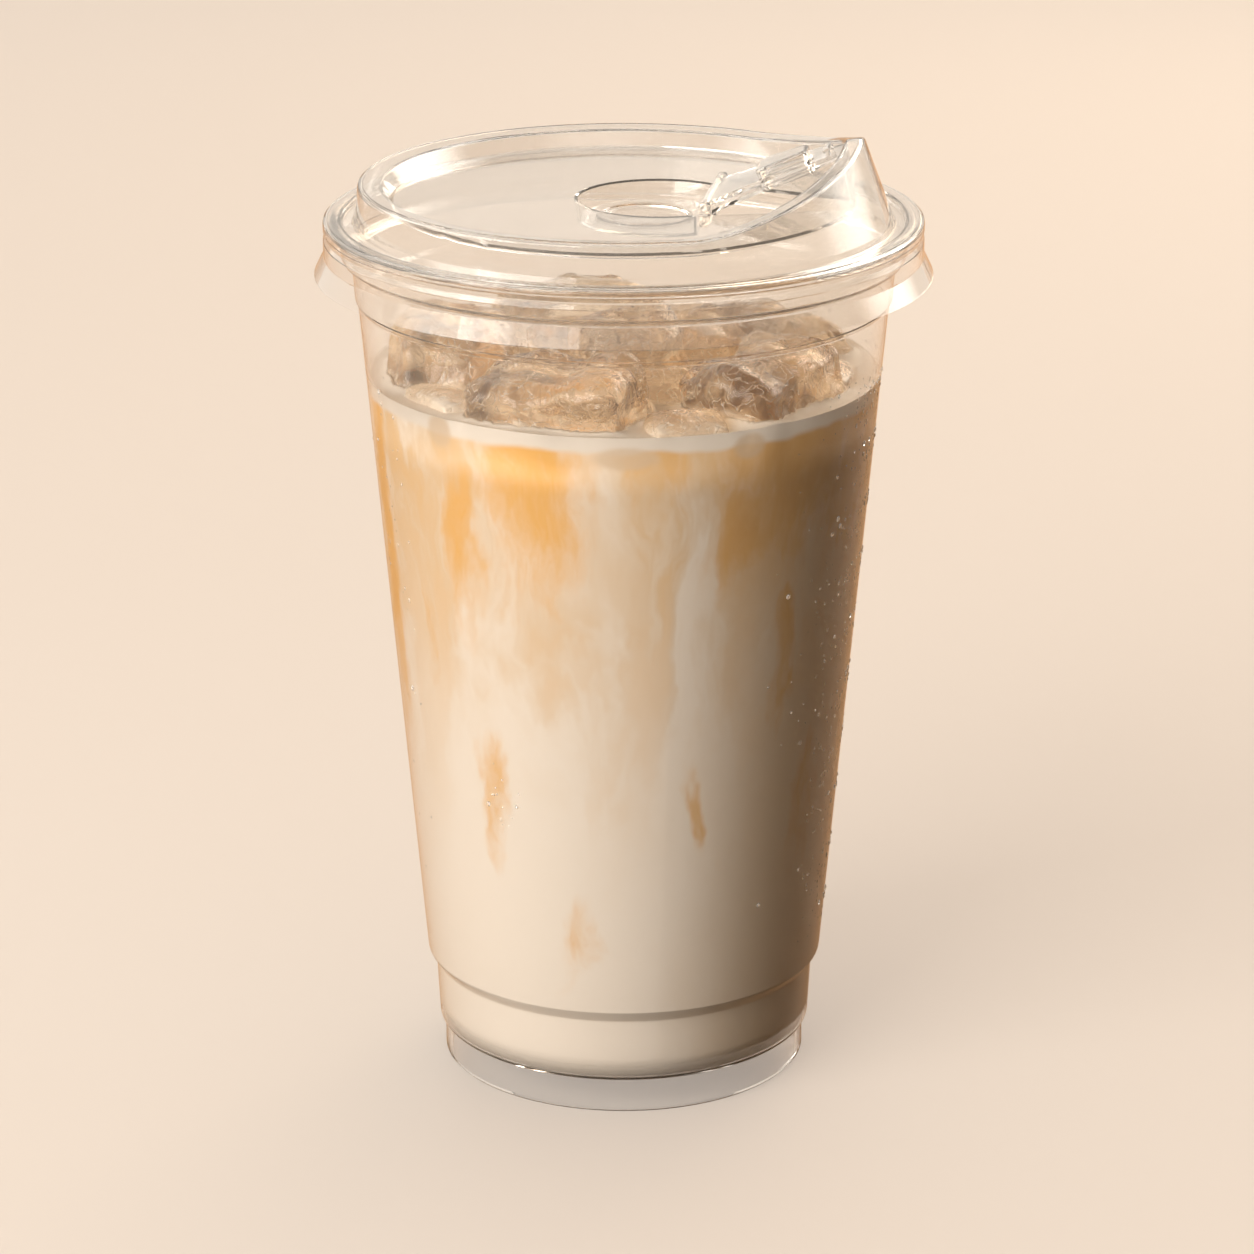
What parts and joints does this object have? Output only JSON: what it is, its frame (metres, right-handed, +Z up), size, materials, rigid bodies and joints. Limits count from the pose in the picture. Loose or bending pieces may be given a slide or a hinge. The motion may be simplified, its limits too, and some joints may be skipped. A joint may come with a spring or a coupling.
{
  "type": "iced coffee drink in a lidded cup",
  "caption": "Clear tapered takeaway cup of milky iced coffee with caramel streaks and ice, under a clear strawless lid with a raised spout and a hinged sip tab.",
  "frame": {"origin": "middle of the ring that the cup stands on", "axes": "+Z up through the cup, +X towards the lid's spout"},
  "size_m": [0.1044, 0.1044, 0.1652],
  "materials": {
    "cup_plastic": "clear thin PET, glossy",
    "lid_plastic": "clear thermoformed PET, glossy",
    "drink": "opaque milky coffee with caramel streaks, wet",
    "ice": "wet translucent ice tinted by the drink"
  },
  "bodies": {
    "cup_body": {"cup": "cup_plastic", "lid": "lid_plastic", "drink": "drink", "ice_1": "ice", "ice_2": "ice", "ice_3": "ice", "ice_4": "ice", "ice_5": "ice", "ice_6": "ice"},
    "tab": {"sip_tab": "lid_plastic"}
  },
  "joints": [
    {"name": "tab_hinge", "type": "hinge", "parent": "cup_body", "child": "tab", "pos_m": [0.0152, 0, 0.15505], "axis": [0, -1, 0], "range_deg": [0, 150]}
  ]
}
